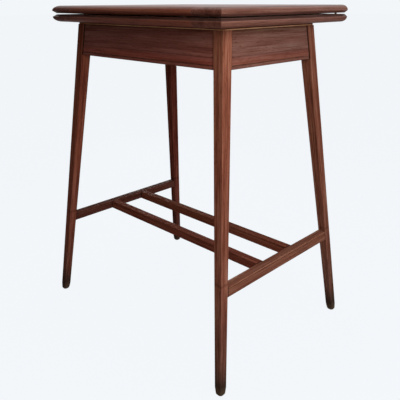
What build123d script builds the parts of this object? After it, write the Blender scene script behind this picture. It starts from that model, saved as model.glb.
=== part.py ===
from build123d import *
import os

os.makedirs("parts", exist_ok=True)

# Console game table with a fold-over top that swivels on its frame.
# Millimetres, +Z up, +X to the right along the long side, -Y towards the front.
# The origin lies on the floor, in the middle of the table's whole footprint.

# Table as a whole
table_height = 740.0
top_length = 515.2
top_depth = 395.2

# How far the closed top stands over the frame, and the feet outside it
overhang_left = 29.2
overhang_right = 38.2
overhang_front = 46.7
overhang_back = 65.7
foot_splay_x = 78.4
foot_splay_y = 81.0

# Top: two leaves folded face to face
leaf_thickness = 15.8
leaf_gap = 2.4
nose_tip = 5.0
nose_play_width = 7.0
nose_show_width = 15.5
fold_round = 1.4
clamp_width = 70.8
tongue_length = 10.0
tongue_thickness = 5.2
tongue_stop = 25.0
baize_border = 42.0
baize_fold_border = 10.0
baize_recess = 0.8
baize_thickness = 0.7
button_radius = 5.0
button_from_end = 104.0
button_from_front = 20.0

# Legs
leg_top_width = 24.3
leg_foot_width = 16.9
foot_round = 6.0
foot_steps = 6
foot_corner = 4.4
foot_corner_share = 0.28
foot_fade = 18.0
leg_arris = 0.8

# Aprons between the legs
apron_height = 67.3
apron_thickness = 18.0
apron_inset = 1.8
bead_height = 6.0
quirk_width = 1.3
quirk_depth = 1.1
bar_arris = 0.8

# Slips along the top of the frame, with a ribbon of felt on each
slip_width = 6.0
slip_height = 3.9
felt_width = 5.0
felt_thickness = 1.0

# Side stretchers and the two long rails between them
stretcher_top_z = 229.2
stretcher_height = 21.0
stretcher_width = 18.6
stretcher_inset = 0.2
rail_spacing = 103.7
rail_width = 17.8
rail_height = 20.9
top_bead_height = 3.8

# Tenons
apron_tenon_length = 11.0
apron_tenon_thickness = 6.0
apron_tenon_shoulder = 12.0
apron_tenon_set = 9.0
bar_tenon_length = 8.0
bar_tenon_thickness = 6.5
bar_tenon_height = 11.0
tenon_root = 7.0

# Pivot of the swivel
flange_radius = 28.0
flange_thickness = 3.0
stud_radius = 6.0
stud_tail = 3.0
stud_chamfer = 1.0
pivot_room = 21.0
pivot_block_size = 66.0
pivot_block_height = 14.7
bearer_width = 66.0
bearer_thickness = 20.0
housing_depth = 5.0
washer_radius = 15.0
washer_thickness = 2.0
nut_radius = 10.5
nut_height = 8.0
nut_sides = 6
flange_screw_radius = 20.0
flange_screws = 4

# Stops under the lower leaf
stop_length = 24.0
stop_width = 16.0
stop_height = 14.0
stop_reach = 110.0
stop_drop = 60.0

# Card well and corner blocks
well_depth = 42.0
well_floor_thickness = 6.0
partition_thickness = 8.0
fillet_width = 10.0
fillet_height = 10.0
corner_block_leg = 36.0
corner_block_clip = 10.5

# Flap hinges with two pins and a link
hinge_from_end = 26.0
plate_width = 20.0
plate_length = 30.0
plate_thickness = 2.2
knuckle_width = 10.2
knuckle_length = 8.2
knuckle_depth = 5.6
pin_depth = 3.0
pin_from_edge = 3.5
pin_radius = 1.1
link_width = 3.0
link_radius = 2.2
plate_screw_spacing = 11.0
plate_screw_from_edge = 13.5

# Countersunk screws: head radius, shank radius, head height, length
small_screw = (2.4, 1.1, 1.5, 10.0)
flange_screw = (3.4, 1.7, 2.2, 12.0)
block_screw = (3.4, 1.7, 2.2, 22.0)
corner_screw = (3.4, 1.7, 2.2, 28.0)
driver_slot_share = 0.3

# Clearances and gaps
slide_gap = 0.3
glue_gap = 0.1
stop_gap = 0.3
pivot_gap = 0.3
running_fit = 0.06
press_fit = 0.02
slot_gap = 0.2
swing_gap = 0.4
screw_fit = 0.03
tenon_end_gap = 0.6
overrun = 2.0

# Plan of the frame, and the top's place over it
frame_length = top_length - overhang_left - overhang_right
frame_depth = top_depth - overhang_front - overhang_back
top_shift_x = (overhang_right - overhang_left) / 2
top_shift_y = (overhang_back - overhang_front) / 2

# Heights through the top and the frame
fold_z = table_height - leaf_thickness - leaf_gap / 2
lower_bottom_z = fold_z - leaf_gap / 2 - leaf_thickness
felt_z = lower_bottom_z - slide_gap - felt_thickness
slip_z = felt_z - slip_height
leg_top_z = slip_z
apron_bottom_z = leg_top_z - apron_height
flange_z = lower_bottom_z - flange_thickness
bearer_top_z = flange_z - pivot_gap - pivot_block_height
bearer_bottom_z = bearer_top_z - bearer_thickness
washer_z = bearer_bottom_z - washer_thickness
nut_z = washer_z - pivot_gap - nut_height
well_floor_z = leg_top_z - well_depth
well_underside_z = well_floor_z - well_floor_thickness
corner_low_z = apron_bottom_z + bead_height
corner_high_z = well_underside_z - glue_gap
slope_x = foot_splay_x / leg_top_z
slope_y = foot_splay_y / leg_top_z


def leg_width(z):
    """Width of a leg at a height."""
    return leg_foot_width + (leg_top_width - leg_foot_width) * z / leg_top_z


def leg_out_x(z):
    """Distance of a leg's outer face from the frame's centre, along X."""
    return frame_length / 2 + slope_x * (leg_top_z - z)


def leg_out_y(z):
    """Distance of a leg's outer face from the frame's centre, along Y."""
    return frame_depth / 2 + slope_y * (leg_top_z - z)


def leg_in_x(z):
    """Distance of a leg's inner face from the frame's centre, along X."""
    return leg_out_x(z) - leg_width(z)


def leg_in_y(z):
    """Distance of a leg's inner face from the frame's centre, along Y."""
    return leg_out_y(z) - leg_width(z)


def foot_inset(z):
    """How far the rounding of a foot lies inside the leg's faces at a height."""
    above = max(foot_round - z, 0)
    return foot_round - (foot_round ** 2 - above ** 2) ** (1 / 2)


def corner_width(z, width):
    """How wide a leg's corner chamfers are at a height: the small arris, eased wider into the foot."""
    eased = leg_arris + (foot_corner - leg_arris) * max(1 - z / foot_fade, 0)
    return min(eased, foot_corner_share * width)


def apron_out_x(z):
    """Outer face of a side apron."""
    return leg_out_x(z) - apron_inset


def apron_out_y(z):
    """Outer face of the front or back apron."""
    return leg_out_y(z) - apron_inset


def apron_in_x(z):
    """Inner face of a side apron."""
    return apron_out_x(z) - apron_thickness


def apron_in_y(z):
    """Inner face of the front or back apron."""
    return apron_out_y(z) - apron_thickness


def stretcher_out_x(z):
    """Outer face of a side stretcher."""
    return leg_out_x(z) - stretcher_inset


def stretcher_in_x(z):
    """Inner face of a side stretcher."""
    return stretcher_out_x(z) - stretcher_width


# The frame stands in front of the origin where the top reaches further back than the feet
top_back_y = top_shift_y + top_depth / 2
frame_y = (leg_out_y(foot_round) - max(leg_out_y(foot_round), top_back_y)) / 2
base = Plane(origin=(0, frame_y, 0))
front_view = Plane(origin=(0, frame_y, 0), x_dir=(1, 0, 0), z_dir=(0, -1, 0))
side_view = Plane(origin=(0, frame_y, 0), x_dir=(0, 1, 0), z_dir=(1, 0, 0))
reach = 2 * max(leg_out_x(0), leg_out_y(0))
upright = (Align.CENTER, Align.CENTER, Align.MIN)
hanging = (Align.CENTER, Align.CENTER, Align.MAX)
sides = (("left", -1), ("right", 1))
ends = (("front", -1), ("back", 1))

# Pivot: a quarter turn about it brings the opened top over the middle of the frame,
# where the back apron leaves room for its block
open_gap = leaf_gap + 2 * (pin_depth - pin_from_edge)
opened_y = top_back_y + open_gap / 2
pivot_x = (top_shift_x + opened_y) / 2
pivot_y = min((opened_y - top_shift_x) / 2, apron_in_y(leg_top_z) - pivot_room)


def outline(plane, points):
    """Flat face on a plane, with straight sides through the points."""
    with BuildSketch(plane) as shape:
        with BuildLine():
            Polyline(*points, close=True)
        make_face()
    return shape.sketch


def between(face_at, low_z, high_z, grow=0.0):
    """Corner points of a board that spans from face to face and leans with them."""
    low, high = face_at(low_z) + grow, face_at(high_z) + grow
    return [(-low, low_z), (low, low_z), (high, high_z), (-high, high_z)]


def leaning_section(sign, out_at, in_at, low_z, high_z, quirks):
    """Section of a bar whose two faces lean like the legs, with a quirk scribed at each given place.

    A quirk is a height and the face that it is in, "out" or "in".
    """
    def face(at, inward, name):
        points = [(at(low_z + bar_arris), low_z + bar_arris)]
        for quirk_z, where in quirks:
            if where == name:
                top_z = quirk_z + quirk_width
                points += [(at(quirk_z), quirk_z), (at(quirk_z) + inward * quirk_depth, quirk_z),
                           (at(top_z) + inward * quirk_depth, top_z), (at(top_z), top_z)]
        points.append((at(high_z - bar_arris), high_z - bar_arris))
        return points

    outer = [(out_at(low_z) - bar_arris, low_z)] + face(out_at, -1, "out")
    outer.append((out_at(high_z) - bar_arris, high_z))
    inner = [(in_at(low_z) + bar_arris, low_z)] + face(in_at, 1, "in")
    inner.append((in_at(high_z) + bar_arris, high_z))
    return [(sign * across, z) for across, z in outer + inner[::-1]]


def tenon(along_x, sign, shoulder, across, z, length, thickness, height, grow=0.0, end_gap=0.0):
    """Centre and size of a tenon that starts inside its bar and ends past its shoulder.

    With grow and end_gap it is the mortise.
    """
    run = length + end_gap + tenon_root
    along = sign * (shoulder + (length + end_gap - tenon_root) / 2)
    thick, high = thickness + 2 * grow, height + 2 * grow
    if along_x:
        return (along, across, z), (run, thick, high)
    return (across, along, z), (thick, run, high)


def apron_tenon(along_x, sx, sy, **gaps):
    """Tenon of an apron in the leg on sides sx and sy."""
    z = (leg_top_z + apron_bottom_z) / 2
    height = apron_height - 2 * apron_tenon_shoulder
    if along_x:
        return tenon(True, sx, leg_in_x(z), sy * (leg_out_y(z) - apron_tenon_set), z,
                     apron_tenon_length, apron_tenon_thickness, height, **gaps)
    return tenon(False, sy, leg_in_y(z), sx * (leg_out_x(z) - apron_tenon_set), z,
                 apron_tenon_length, apron_tenon_thickness, height, **gaps)


def stretcher_tenon(sx, sy, **gaps):
    """Tenon of a side stretcher in the leg on sides sx and sy."""
    z = stretcher_top_z - stretcher_height / 2
    return tenon(False, sy, leg_in_y(z), sx * (leg_out_x(z) - leg_width(z) / 2), z,
                 bar_tenon_length, bar_tenon_thickness, bar_tenon_height, **gaps)


def rail_tenon(sx, sy, **gaps):
    """Tenon of a long rail in the side stretcher."""
    z = stretcher_top_z - rail_height / 2
    return tenon(True, sx, stretcher_in_x(z), sy * rail_spacing / 2, z,
                 bar_tenon_length, bar_tenon_thickness, bar_tenon_height, **gaps)


def block(place, mode=Mode.ADD):
    """A box from its centre and size."""
    centre, size = place
    with Locations(centre):
        Box(*size, mode=mode)


def mortise(place):
    """A box cut away."""
    block(place, mode=Mode.SUBTRACT)


mortise_gaps = {"grow": glue_gap, "end_gap": tenon_end_gap}


def wood_screw(sizes):
    """Countersunk screw along +Z, with its slotted head's face on the plane."""
    head_radius, shank_radius, head_height, length = sizes
    slot = driver_slot_share * head_height
    Cone(head_radius, shank_radius, head_height, align=upright)
    Cylinder(shank_radius, length, align=upright)
    Box(2 * head_radius + slot, slot, slot, align=upright, mode=Mode.SUBTRACT)


def screw_hole(sizes):
    """Hole that such a screw fills, with a little room."""
    head_radius, shank_radius, head_height, length = sizes
    Cone(head_radius + screw_fit, shank_radius + screw_fit, head_height, align=upright, mode=Mode.SUBTRACT)
    Cylinder(shank_radius + screw_fit, length + screw_fit, align=upright, mode=Mode.SUBTRACT)


def pilot_hole(sizes):
    """Straight hole along -Z for a screw's shank."""
    _, shank_radius, _, length = sizes
    Cylinder(shank_radius + screw_fit, length + screw_fit, align=hanging, mode=Mode.SUBTRACT)


def corner_screw_plane(sx, sy):
    """Where the diagonal screw of a corner block starts: in the middle of its long face."""
    z = (corner_low_z + corner_high_z) / 2
    inset = (corner_block_leg + glue_gap) / 2
    return Plane(origin=(sx * (apron_in_x(z) - inset), sy * (apron_in_y(z) - inset), z), z_dir=(sx, sy, 0))


# Legs: square, tapered and splayed both ways, rounded at the foot, with mortises in their inner faces
foot_heights = [foot_round * (step / foot_steps) ** 2 for step in range(foot_steps + 1)]
for side, sx in sides:
    for end, sy in ends:
        with BuildPart(base) as leg:
            for z in foot_heights + [foot_fade, leg_top_z]:
                middle = leg_width(z) / 2
                width = leg_width(z) - 2 * foot_inset(z)
                with BuildSketch(base.offset(z)) as section:
                    with Locations((sx * (leg_out_x(z) - middle), sy * (leg_out_y(z) - middle))):
                        Rectangle(width, width)
                    chamfer(section.vertices(), corner_width(z, width))
            loft(ruled=True)
            mortise(apron_tenon(True, sx, sy, **mortise_gaps))
            mortise(apron_tenon(False, sx, sy, **mortise_gaps))
            mortise(stretcher_tenon(sx, sy, **mortise_gaps))
            with Locations(corner_screw_plane(sx, sy)):
                screw_hole(corner_screw)
        leg.part.label = f"leg_{end}_{side}"
        export_step(leg.part, f"parts/leg_{end}_{side}.step")

# Front and back aprons: canted like the legs, with a bead along the lower edge
bead_quirk = ((apron_bottom_z + bead_height, "out"),)
bearer_section = between(apron_in_y, bearer_bottom_z, bearer_top_z, housing_depth)
housing_section = between(apron_in_y, bearer_bottom_z - glue_gap, bearer_top_z + glue_gap,
                          housing_depth + glue_gap)
bearer_start = pivot_x - bearer_width / 2
for end, sy in ends:
    with BuildPart(base) as apron:
        section = leaning_section(sy, apron_out_y, apron_in_y, apron_bottom_z, leg_top_z, bead_quirk)
        extrude(outline(side_view, section), amount=reach, both=True)
        shoulders = outline(front_view, between(leg_in_x, apron_bottom_z, leg_top_z))
        extrude(shoulders, amount=reach, both=True, mode=Mode.INTERSECT)
        for side, sx in sides:
            block(apron_tenon(True, sx, sy))
        housing = outline(side_view.offset(bearer_start - glue_gap), housing_section)
        extrude(housing, amount=bearer_width + 2 * glue_gap, mode=Mode.SUBTRACT)
    apron.part.label = f"apron_{end}"
    export_step(apron.part, f"parts/apron_{end}.step")

# Side aprons
for side, sx in sides:
    with BuildPart(base) as apron:
        section = leaning_section(sx, apron_out_x, apron_in_x, apron_bottom_z, leg_top_z, bead_quirk)
        extrude(outline(front_view, section), amount=reach, both=True)
        shoulders = outline(side_view, between(leg_in_y, apron_bottom_z, leg_top_z))
        extrude(shoulders, amount=reach, both=True, mode=Mode.INTERSECT)
        for end, sy in ends:
            block(apron_tenon(False, sx, sy))
    apron.part.label = f"apron_{side}"
    export_step(apron.part, f"parts/apron_{side}.step")

# Side stretchers, low between the legs, scribed under both upper arrises
stretcher_bottom_z = stretcher_top_z - stretcher_height
scribed_z = stretcher_top_z - top_bead_height - quirk_width
both_quirks = ((scribed_z, "out"), (scribed_z, "in"))
for side, sx in sides:
    with BuildPart(base) as stretcher:
        section = leaning_section(sx, stretcher_out_x, stretcher_in_x, stretcher_bottom_z,
                                  stretcher_top_z, both_quirks)
        extrude(outline(front_view, section), amount=reach, both=True)
        shoulders = outline(side_view, between(leg_in_y, stretcher_bottom_z, stretcher_top_z))
        extrude(shoulders, amount=reach, both=True, mode=Mode.INTERSECT)
        for end, sy in ends:
            block(stretcher_tenon(sx, sy))
            mortise(rail_tenon(sx, sy, **mortise_gaps))
    stretcher.part.label = f"stretcher_{side}"
    export_step(stretcher.part, f"parts/stretcher_{side}.step")

# Long rails, side by side from stretcher to stretcher
rail_bottom_z = stretcher_top_z - rail_height
for end, sy in ends:
    with BuildPart(base) as rail:
        section = leaning_section(sy, lambda z: (rail_spacing + rail_width) / 2,
                                  lambda z: (rail_spacing - rail_width) / 2,
                                  rail_bottom_z, stretcher_top_z, both_quirks)
        extrude(outline(side_view, section), amount=reach, both=True)
        shoulders = outline(front_view, between(stretcher_in_x, rail_bottom_z, stretcher_top_z))
        extrude(shoulders, amount=reach, both=True, mode=Mode.INTERSECT)
        for side, sx in sides:
            block(rail_tenon(sx, sy))
    rail.part.label = f"long_rail_{end}"
    export_step(rail.part, f"parts/long_rail_{end}.step")

# Slips on top of the frame and their felt: front and back run through, the sides fit between
slip_out_x = apron_out_x(leg_top_z)
slip_out_y = apron_out_y(leg_top_z)
felt_inset = (slip_width - felt_width) / 2
side_run = 2 * (slip_out_y - slip_width)
for end, sy in ends:
    with BuildPart(base) as slip:
        with Locations((0, sy * (slip_out_y - slip_width / 2), slip_z)):
            Box(2 * slip_out_x, slip_width, slip_height, align=upright)
    slip.part.label = f"slip_{end}"
    export_step(slip.part, f"parts/slip_{end}.step")
    with BuildPart(base) as felt:
        with Locations((0, sy * (slip_out_y - slip_width / 2), felt_z)):
            Box(2 * (slip_out_x - felt_inset), felt_width, felt_thickness, align=upright)
    felt.part.label = f"felt_{end}"
    export_step(felt.part, f"parts/felt_{end}.step")
for side, sx in sides:
    with BuildPart(base) as slip:
        with Locations((sx * (slip_out_x - slip_width / 2), 0, slip_z)):
            Box(slip_width, side_run, slip_height, align=upright)
    slip.part.label = f"slip_{side}"
    export_step(slip.part, f"parts/slip_{side}.step")
    with BuildPart(base) as felt:
        with Locations((sx * (slip_out_x - slip_width / 2), 0, felt_z)):
            Box(felt_width, side_run, felt_thickness, align=upright)
    felt.part.label = f"felt_{side}"
    export_step(felt.part, f"parts/felt_{side}.step")

# Corner blocks behind the four joints, each with a screw into the leg
with BuildPart(base) as corner_blocks:
    for side, sx in sides:
        for end, sy in ends:
            for z in (corner_low_z, corner_high_z):
                x, y = apron_in_x(z) - glue_gap, apron_in_y(z) - glue_gap
                points = [(x - corner_block_leg, y), (x - corner_block_clip, y),
                          (x, y - corner_block_clip), (x, y - corner_block_leg)]
                with BuildSketch(base.offset(z)):
                    with BuildLine():
                        Polyline(*[(sx * across, sy * back) for across, back in points], close=True)
                    make_face()
            loft(ruled=True)
            with Locations(corner_screw_plane(sx, sy)):
                screw_hole(corner_screw)
corner_blocks.part.label = "corner_blocks"
export_step(corner_blocks.part, "parts/corner_blocks.step")

with BuildPart(base) as corner_block_screws:
    for side, sx in sides:
        for end, sy in ends:
            with Locations(corner_screw_plane(sx, sy)):
                wood_screw(corner_screw)
corner_block_screws.part.label = "corner_block_screws"
export_step(corner_block_screws.part, "parts/corner_block_screws.step")

# Pivot bearer: a cross rail housed in the front and back aprons
with BuildPart(base) as pivot_bearer:
    extrude(outline(side_view.offset(bearer_start), bearer_section), amount=bearer_width)
    with Locations((pivot_x, pivot_y, bearer_bottom_z - overrun)):
        Cylinder(stud_radius + running_fit, bearer_thickness + 2 * overrun, align=upright, mode=Mode.SUBTRACT)
pivot_bearer.part.label = "pivot_bearer"
export_step(pivot_bearer.part, "parts/pivot_bearer.step")

# Pivot block, glued on the bearer under the pivot plate; it stops short of the back apron
block_back_y = min(pivot_block_size / 2, apron_in_y(leg_top_z) - glue_gap - pivot_y)
block_front_y = -pivot_block_size / 2
with BuildPart(base) as pivot_block:
    with Locations((pivot_x, pivot_y + (block_back_y + block_front_y) / 2, bearer_top_z)):
        Box(pivot_block_size, block_back_y - block_front_y, pivot_block_height, align=upright)
    with Locations((pivot_x, pivot_y, bearer_top_z - overrun)):
        Cylinder(stud_radius + running_fit, pivot_block_height + 2 * overrun, align=upright,
                 mode=Mode.SUBTRACT)
pivot_block.part.label = "pivot_block"
export_step(pivot_block.part, "parts/pivot_block.step")

# Washer under the bearer
with BuildPart(base) as pivot_washer:
    with Locations((pivot_x, pivot_y, washer_z)):
        Cylinder(washer_radius, washer_thickness, align=upright)
        Cylinder(stud_radius + running_fit, washer_thickness, align=upright, mode=Mode.SUBTRACT)
pivot_washer.part.label = "pivot_washer"
export_step(pivot_washer.part, "parts/pivot_washer.step")

# Nut on the stud, with a running gap under the washer
with BuildPart(base) as pivot_nut:
    with BuildSketch(base.offset(nut_z)):
        with Locations((pivot_x, pivot_y)):
            RegularPolygon(nut_radius, nut_sides)
            Circle(stud_radius + press_fit, mode=Mode.SUBTRACT)
    extrude(amount=nut_height)
pivot_nut.part.label = "pivot_nut"
export_step(pivot_nut.part, "parts/pivot_nut.step")

# Pivot plate: a round flange under the lower leaf, with the stud that turns in the bearer
with BuildPart(base) as pivot_plate:
    with Locations((pivot_x, pivot_y, lower_bottom_z)):
        Cylinder(flange_radius, flange_thickness, align=hanging)
        Cylinder(stud_radius, lower_bottom_z - nut_z + stud_tail, align=hanging)
    with Locations((pivot_x, pivot_y, flange_z)):
        with PolarLocations(flange_screw_radius, flange_screws):
            screw_hole(flange_screw)
    chamfer(pivot_plate.faces().sort_by(Axis.Z)[0].edges(), stud_chamfer)
pivot_plate.part.label = "pivot_plate"
export_step(pivot_plate.part, "parts/pivot_plate.step")

with BuildPart(base) as pivot_plate_screws:
    with Locations((pivot_x, pivot_y, flange_z)):
        with PolarLocations(flange_screw_radius, flange_screws):
            wood_screw(flange_screw)
pivot_plate_screws.part.label = "pivot_plate_screws"
export_step(pivot_plate_screws.part, "parts/pivot_plate_screws.step")

# Card well: floor, the partition beside the bearer, and the fillets that carry the floor
with BuildPart(base) as well_floor:
    floor_start = -(apron_in_x(well_floor_z) - glue_gap)
    floor_section = between(apron_in_y, well_underside_z, well_floor_z, -glue_gap)
    extrude(outline(side_view.offset(floor_start), floor_section), amount=bearer_start - floor_start)
    notch_x = leg_in_x(well_floor_z) - glue_gap
    notch_y = leg_in_y(well_floor_z) - glue_gap
    for end, sy in ends:
        with Locations((-notch_x - leg_top_width / 2, sy * (notch_y + leg_top_width / 2), well_underside_z)):
            Box(leg_top_width, leg_top_width, well_floor_thickness, align=upright, mode=Mode.SUBTRACT)
well_floor.part.label = "well_floor"
export_step(well_floor.part, "parts/well_floor.step")

with BuildPart(base) as well_partition:
    partition_section = between(apron_in_y, well_floor_z, bearer_top_z, -glue_gap)
    partition_face = outline(side_view.offset(bearer_start), partition_section)
    extrude(partition_face, amount=-partition_thickness)
well_partition.part.label = "well_partition"
export_step(well_partition.part, "parts/well_partition.step")

fillet_low_z = well_underside_z - fillet_height
fillet_start = -(apron_in_x(corner_low_z) - corner_block_leg - corner_block_clip)
with BuildPart(base) as well_fillets:
    for end, sy in ends:
        low, high = apron_in_y(fillet_low_z) - glue_gap, apron_in_y(well_underside_z) - glue_gap
        fillet_section = [(sy * low, fillet_low_z), (sy * high, well_underside_z),
                          (sy * (high - fillet_width), well_underside_z),
                          (sy * (high - fillet_width), fillet_low_z)]
        fillet_face = outline(side_view.offset(fillet_start), fillet_section)
        extrude(fillet_face, amount=bearer_start - fillet_start)
well_fillets.part.label = "well_fillets"
export_step(well_fillets.part, "parts/well_fillets.step")

# Stops under the lower leaf: one meets the back apron when the top is closed over the frame,
# the other meets the right apron after the quarter turn
stop_face_y = apron_in_y(leg_top_z) - stop_gap - stop_width / 2
stop_face_x = apron_in_x(leg_top_z) - stop_gap - stop_width / 2
stop_places = {"stop_closed": (pivot_x - stop_reach, stop_face_y),
               "stop_open": (pivot_x - stop_drop, pivot_y + pivot_x - stop_face_x)}
for name, (x, y) in stop_places.items():
    with BuildPart(base) as stop:
        with Locations((x, y, lower_bottom_z)):
            Box(stop_length, stop_width, stop_height, align=hanging)
        with Locations((x, y, lower_bottom_z - stop_height)):
            screw_hole(block_screw)
    stop.part.label = name
    export_step(stop.part, f"parts/{name}.step")

with BuildPart(base) as stop_screws:
    for x, y in stop_places.values():
        with Locations((x, y, lower_bottom_z - stop_height)):
            wood_screw(block_screw)
stop_screws.part.label = "stop_screws"
export_step(stop_screws.part, "parts/stop_screws.step")

# Leaves. On a leaf's own plane, z runs from the playing face into the wood
board_length = top_length - 2 * clamp_width
baize_length = top_length - 2 * baize_border
baize_depth = top_depth - baize_border - baize_fold_border
tongue_depth = top_depth - 2 * tongue_stop
hinge_x = top_length / 2 - hinge_from_end
fold_y = top_depth / 2
pin_y = fold_y - pin_from_edge


def leaf_section(plane, half, folds):
    """Section of a leaf: rounded and bevelled at one end, and at the other the same or square."""
    show_height = leaf_thickness - nose_tip
    with BuildSketch(plane) as section:
        with BuildLine():
            show = EllipticalCenterArc((nose_show_width - half, nose_tip), nose_show_width, show_height, 90)
            play = Line((-half, nose_tip), (nose_play_width - half, 0))
            if folds:
                Polyline(play @ 1, (half, 0), (half, leaf_thickness), show @ 0)
            else:
                other = Line((half - nose_play_width, 0), (half, nose_tip))
                Line(play @ 1, other @ 0)
                far = EllipticalCenterArc((half - nose_show_width, nose_tip), nose_show_width, show_height)
                Line(far @ 1, show @ 0)
        make_face()
        if folds:
            fillet(section.vertices().sort_by(Axis.X)[-2:], fold_round)
    return section.sketch


def hinge_boxes(x, up, grow=0.0):
    """Plate and knuckle of a hinge on a leaf's plane, as centres and sizes; grown, their recess."""
    places = []
    for width, length, depth in ((plate_width, plate_length, plate_thickness),
                                 (knuckle_width, knuckle_length, knuckle_depth)):
        run = length + overrun + grow
        y = up * (fold_y + overrun - run / 2)
        places.append(((x, y, (depth + grow) / 2), (width + 2 * grow, run, depth + grow)))
    return places


for leaf, up in (("lower", -1), ("upper", 1)):
    play_z = fold_z + up * leaf_gap / 2
    leaf_origin = (top_shift_x, frame_y + top_shift_y, play_z)
    leaf_plane = Plane(origin=leaf_origin, x_dir=(1, 0, 0), z_dir=(0, 0, up))
    across = Plane(origin=leaf_origin, x_dir=(0, 1, 0), z_dir=(up, 0, 0))
    along = Plane(origin=leaf_origin, x_dir=(1, 0, 0), z_dir=(0, -up, 0))
    recess_y = up * (baize_border - baize_fold_border) / 2
    plate_screws = [(sx * hinge_x, up * (fold_y - plate_screw_from_edge - row * plate_screw_spacing), 0)
                    for side, sx in sides for row in (0, 1)]

    # The whole leaf, before it is parted into board and clamps
    with BuildPart(leaf_plane) as blank:
        extrude(leaf_section(across, top_depth / 2, True), amount=top_length / 2, both=True)
        extrude(leaf_section(along, top_length / 2, False), amount=top_depth, both=True, mode=Mode.INTERSECT)
        with Locations((0, recess_y, 0)):
            Box(baize_length, baize_depth, baize_recess, align=upright, mode=Mode.SUBTRACT)
        for side, sx in sides:
            for place in hinge_boxes(sx * hinge_x, up, glue_gap):
                mortise(place)
        with Locations(*plate_screws):
            screw_hole(small_screw)
        if leaf == "lower":
            flange_depth = leaf_thickness + flange_thickness
            with Locations((pivot_x - top_shift_x, up * (pivot_y - top_shift_y), flange_depth)):
                with PolarLocations(flange_screw_radius, flange_screws):
                    pilot_hole(flange_screw)
            for x, y in stop_places.values():
                with Locations((x - top_shift_x, up * (y - top_shift_y), leaf_thickness + stop_height)):
                    pilot_hole(block_screw)

    # Board, with a tongue along each end
    with BuildPart() as board:
        add(blank.part)
        with Locations(leaf_plane):
            Box(board_length, top_depth, leaf_thickness, align=upright, mode=Mode.INTERSECT)
            for side, sx in sides:
                with Locations((sx * (board_length + tongue_length) / 2, 0, leaf_thickness / 2)):
                    Box(tongue_length, tongue_depth, tongue_thickness)
    board.part.label = f"{leaf}_leaf_board"
    export_step(board.part, f"parts/{leaf}_leaf_board.step")

    # End clamps, grooved for the tongues
    for side, sx in sides:
        with BuildPart() as clamp:
            add(blank.part)
            with Locations(leaf_plane):
                with Locations((sx * (board_length + clamp_width) / 2, 0, 0)):
                    Box(clamp_width, top_depth, leaf_thickness, align=upright, mode=Mode.INTERSECT)
                with Locations((0, 0, leaf_thickness / 2)):
                    Box(board_length + 2 * (tongue_length + tenon_end_gap), tongue_depth + 2 * glue_gap,
                        tongue_thickness + 2 * glue_gap, mode=Mode.SUBTRACT)
        clamp.part.label = f"{leaf}_leaf_clamp_{side}"
        export_step(clamp.part, f"parts/{leaf}_leaf_clamp_{side}.step")

    # Baize, let into the playing face
    with BuildPart(leaf_plane) as baize:
        with Locations((0, recess_y, baize_recess)):
            Box(baize_length - 2 * glue_gap, baize_depth - 2 * glue_gap, baize_thickness, align=hanging)
    baize.part.label = f"{leaf}_leaf_baize"
    export_step(baize.part, f"parts/{leaf}_leaf_baize.step")

    # Hinge plates with their knuckles, slotted for the link and bored for the pin
    for side, sx in sides:
        with BuildPart(leaf_plane) as plate:
            for place in hinge_boxes(sx * hinge_x, up):
                block(place)
            extrude(leaf_section(across, top_depth / 2, True), amount=top_length / 2, both=True,
                    mode=Mode.INTERSECT)
            slot_reach = link_radius + swing_gap
            slot_width = link_width + 2 * slot_gap
            slot_run = slot_reach + pin_from_edge + overrun
            with Locations((sx * hinge_x, up * (pin_y - slot_reach + slot_run / 2), 0)):
                Box(slot_width, slot_run, pin_depth + slot_reach, align=upright, mode=Mode.SUBTRACT)
            with Locations((sx * hinge_x, up * pin_y, pin_depth)):
                Cylinder(pin_radius + press_fit, knuckle_width, rotation=(0, 90, 0), mode=Mode.SUBTRACT)
            with Locations(*[place for place in plate_screws if place[0] * sx > 0]):
                screw_hole(small_screw)
        plate.part.label = f"hinge_plate_{leaf}_{side}"
        export_step(plate.part, f"parts/hinge_plate_{leaf}_{side}.step")

    # Pins, one in each knuckle
    with BuildPart(leaf_plane) as pins:
        with Locations(*[(sx * hinge_x, up * pin_y, pin_depth) for side, sx in sides]):
            Cylinder(pin_radius, knuckle_width, rotation=(0, 90, 0))
    pins.part.label = f"hinge_pins_{leaf}"
    export_step(pins.part, f"parts/hinge_pins_{leaf}.step")

    # Plate screws
    with BuildPart(leaf_plane) as screws:
        with Locations(*plate_screws):
            wood_screw(small_screw)
    screws.part.label = f"hinge_screws_{leaf}"
    export_step(screws.part, f"parts/hinge_screws_{leaf}.step")

# Links: each joins the pin in the lower leaf to the pin in the upper one, and stands upright when closed
pin_span = leaf_gap + 2 * pin_depth
for side, sx in sides:
    link_start = (top_shift_x + sx * hinge_x - link_width / 2, frame_y + top_shift_y + pin_y, fold_z)
    link_plane = Plane(origin=link_start, x_dir=(0, 0, 1), z_dir=(1, 0, 0))
    with BuildPart() as link:
        with BuildSketch(link_plane):
            SlotCenterToCenter(pin_span, 2 * link_radius)
            with Locations((-pin_span / 2, 0), (pin_span / 2, 0)):
                Circle(pin_radius + running_fit, mode=Mode.SUBTRACT)
        extrude(amount=link_width)
    link.part.label = f"hinge_link_{side}"
    export_step(link.part, f"parts/hinge_link_{side}.step")

# Rest buttons near the front of the lower leaf; they keep the leaves apart
with BuildPart(base) as rest_buttons:
    button_x = top_length / 2 - button_from_end
    button_y = top_shift_y - top_depth / 2 + button_from_front
    button_z = fold_z - leaf_gap / 2
    with Locations(*[(top_shift_x + sx * button_x, button_y, button_z) for side, sx in sides]):
        Cylinder(button_radius, leaf_gap - slide_gap, align=upright)
rest_buttons.part.label = "rest_buttons"
export_step(rest_buttons.part, "parts/rest_buttons.step")

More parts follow.
